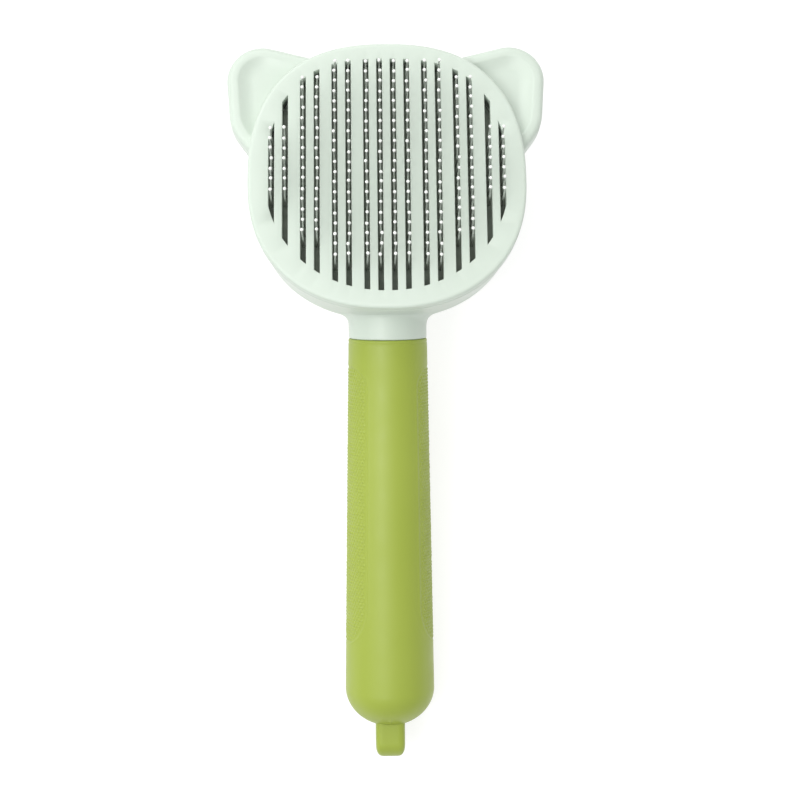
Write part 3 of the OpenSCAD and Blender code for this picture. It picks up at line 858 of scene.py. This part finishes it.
# Lamps: name, place, target, size and power
LAMPS = [("key", (-0.38, 0.06, 0.85), (0, -0.02, 0.02), (0.95, 1.2), 6.05),
         ("far", (-0.30, 0.90, 0.65), (0, 0, 0.02), (0.9, 0.6), 4.4),
         ("spark", (-0.31, -0.17, 0.80), (0, 0, 0.02), (0.09, 0.18), 0.8)]
CAMERA_PLACE, CAMERA_TILT = (-0.0065, 0.0022, 0.511), (0, -1.16, -0.46)
CAMERA_LENS, CAMERA_SENSOR, CAMERA_NEAREST = 76.8, 36, 0.01


def area_light(name, place, target, size, power):
    """A white rectangular lamp at place, turned to target."""
    data = bpy.data.lights.new(name, "AREA")
    data.shape = "RECTANGLE"
    data.size, data.size_y = size
    data.energy = power
    light = bpy.data.objects.new(name, data)
    light.location = place
    light.rotation_euler = (Vector(target) - Vector(place)).to_track_quat("-Z", "Y").to_euler()
    bpy.context.scene.collection.objects.link(light)


def build_floor():
    """A pale table that glows a little, so that it is as white as in the photo."""
    corners = [(x * FLOOR_HALF, y * FLOOR_HALF, 0) for x, y in ((-1, -1), (1, -1), (1, 1), (-1, 1))]
    floor_mesh = bpy.data.meshes.new("floor")
    floor_mesh.from_pydata(corners, [], [(0, 1, 2, 3)])
    floor = bpy.data.objects.new("floor", floor_mesh)
    floor.location.z = -FLOOR_DROP
    bpy.context.scene.collection.objects.link(floor)
    material, _, shader = new_material("pale_table", FLOOR_GREY, 0.9)
    shader.inputs["Emission Color"].default_value = (1, 1, 1, 1)
    shader.inputs["Emission Strength"].default_value = FLOOR_GLOW
    floor_mesh.materials.append(material)


def build_lights():
    """An even white room, a large lamp, a second one behind the ears and a small bright one."""
    world = bpy.data.worlds.new("studio")
    world.use_nodes = True
    world.node_tree.nodes["Background"].inputs["Color"].default_value = (1, 1, 1, 1)
    world.node_tree.nodes["Background"].inputs["Strength"].default_value = ROOM_LIGHT
    bpy.context.scene.world = world
    for lamp in LAMPS:
        area_light(*lamp)


def build_camera():
    """A camera above the brush, looking straight down but for a small tilt that frames it."""
    camera_data = bpy.data.cameras.new("camera")
    camera_data.lens = CAMERA_LENS
    camera_data.sensor_width = CAMERA_SENSOR
    camera_data.clip_start = CAMERA_NEAREST
    camera = bpy.data.objects.new("camera", camera_data)
    camera.location = CAMERA_PLACE
    camera.rotation_euler = [math.radians(angle) for angle in CAMERA_TILT]
    bpy.context.scene.collection.objects.link(camera)
    bpy.context.scene.camera = camera


# ---------------------------------------------------------------- build
bpy.context.scene.view_settings.view_transform = "Standard"
build_floor()
build_lights()
build_camera()
build_shell()
build_plate()
build_pad()
pin_random = np.random.default_rng(5)
for row_number in range(ROWS):
    build_row(row_number, pin_random)
build_cover()
build_button()
cover_z = SCREW_SUNK - HEAD_DEPTH
cover_places = [HEAD @ Matrix.Translation((x * MM, y * MM, cover_z * MM)) for x, y in PILLARS]
build_screws("cover_screw_heads", cover_places, "cover_screws")
grip_screw = Vector((0, SCREW_SUNK - grip_radius(GRIP_SCREW_S), GRIP_SCREW_S)) * MM
grip_screw_place = GRIP @ Matrix.Translation(grip_screw) @ Matrix.Rotation(-math.pi / 2, 4, "X")
build_screws("grip_screw_head", [grip_screw_place], "handle_screw")
for spring_number, spring_place in enumerate(POSTS, 1):
    build_spring(spring_number, spring_place)
build_grip()
build_loop()
KEPT = {"pin_carrier": INNER_MAT, "pusher_frame": INNER_MAT, "carrier_screws": SCREW_MAT,
        "plate_screws": SCREW_MAT, "button_screws": SCREW_MAT}
for kept, material in KEPT.items():
    frame["nodes"][kept].data.materials.clear()
    frame["nodes"][kept].data.materials.append(material)
